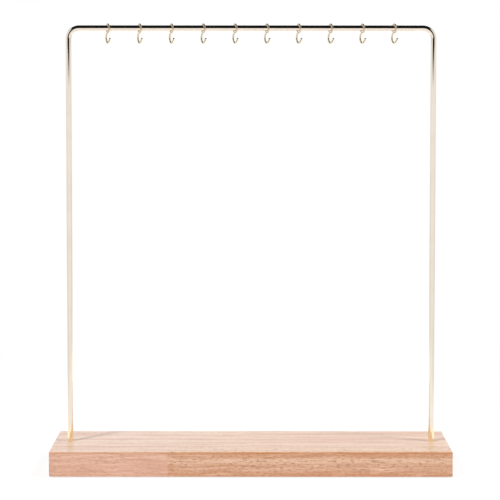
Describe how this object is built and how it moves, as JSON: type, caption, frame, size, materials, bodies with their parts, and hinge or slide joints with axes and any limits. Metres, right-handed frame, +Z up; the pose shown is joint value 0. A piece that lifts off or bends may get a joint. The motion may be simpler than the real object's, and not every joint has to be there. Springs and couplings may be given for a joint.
{
  "type": "jewelry stand",
  "caption": "Open necklace stand: a polished gold rod bent into an arch on a plain wooden base, with small wire hooks that slide along its top bar.",
  "frame": {"origin": "on the table, under the middle of the base", "axes": "+X along the base to the right seen from the front, -Y towards the front, +Z up"},
  "size_m": [0.28, 0.08, 0.3153],
  "materials": {
    "base_wood": "pale pinkish hardwood, fine straight grain along the length, satin clear varnish",
    "gold_rod": "mirror-polished pale gold plating",
    "gold_wire": "bright pale gold plating on bent wire",
    "fixing_steel": "bright zinc plating",
    "pad_rubber": "matt black foam rubber"
  },
  "bodies": {
    "stand": {"base_board": "base_wood", "frame_rod": "gold_rod", "washer_left": "fixing_steel", "washer_right": "fixing_steel", "nut_left": "fixing_steel", "nut_right": "fixing_steel", "pad_front_left": "pad_rubber", "pad_front_right": "pad_rubber", "pad_back_left": "pad_rubber", "pad_back_right": "pad_rubber"},
    "hook_01": {"hook_01": "gold_wire"},
    "hook_02": {"hook_02": "gold_wire"},
    "hook_03": {"hook_03": "gold_wire"},
    "hook_04": {"hook_04": "gold_wire"},
    "hook_05": {"hook_05": "gold_wire"},
    "hook_06": {"hook_06": "gold_wire"},
    "hook_07": {"hook_07": "gold_wire"},
    "hook_08": {"hook_08": "gold_wire"},
    "hook_09": {"hook_09": "gold_wire"},
    "hook_10": {"hook_10": "gold_wire"}
  },
  "joints": [
    {"name": "hook_01_slide", "type": "slide", "parent": "stand", "child": "hook_01", "axis": [1, 0, 0], "range_m": [-0.0095, 0.0095]},
    {"name": "hook_02_slide", "type": "slide", "parent": "stand", "child": "hook_02", "axis": [1, 0, 0], "range_m": [-0.0095, 0.0095]},
    {"name": "hook_03_slide", "type": "slide", "parent": "stand", "child": "hook_03", "axis": [1, 0, 0], "range_m": [-0.0095, 0.0095]},
    {"name": "hook_04_slide", "type": "slide", "parent": "stand", "child": "hook_04", "axis": [1, 0, 0], "range_m": [-0.0095, 0.0095]},
    {"name": "hook_05_slide", "type": "slide", "parent": "stand", "child": "hook_05", "axis": [1, 0, 0], "range_m": [-0.0095, 0.0095]},
    {"name": "hook_06_slide", "type": "slide", "parent": "stand", "child": "hook_06", "axis": [1, 0, 0], "range_m": [-0.0095, 0.0095]},
    {"name": "hook_07_slide", "type": "slide", "parent": "stand", "child": "hook_07", "axis": [1, 0, 0], "range_m": [-0.0095, 0.0095]},
    {"name": "hook_08_slide", "type": "slide", "parent": "stand", "child": "hook_08", "axis": [1, 0, 0], "range_m": [-0.0095, 0.0095]},
    {"name": "hook_09_slide", "type": "slide", "parent": "stand", "child": "hook_09", "axis": [1, 0, 0], "range_m": [-0.0095, 0.0095]},
    {"name": "hook_10_slide", "type": "slide", "parent": "stand", "child": "hook_10", "axis": [1, 0, 0], "range_m": [-0.0095, 0.0095]}
  ]
}
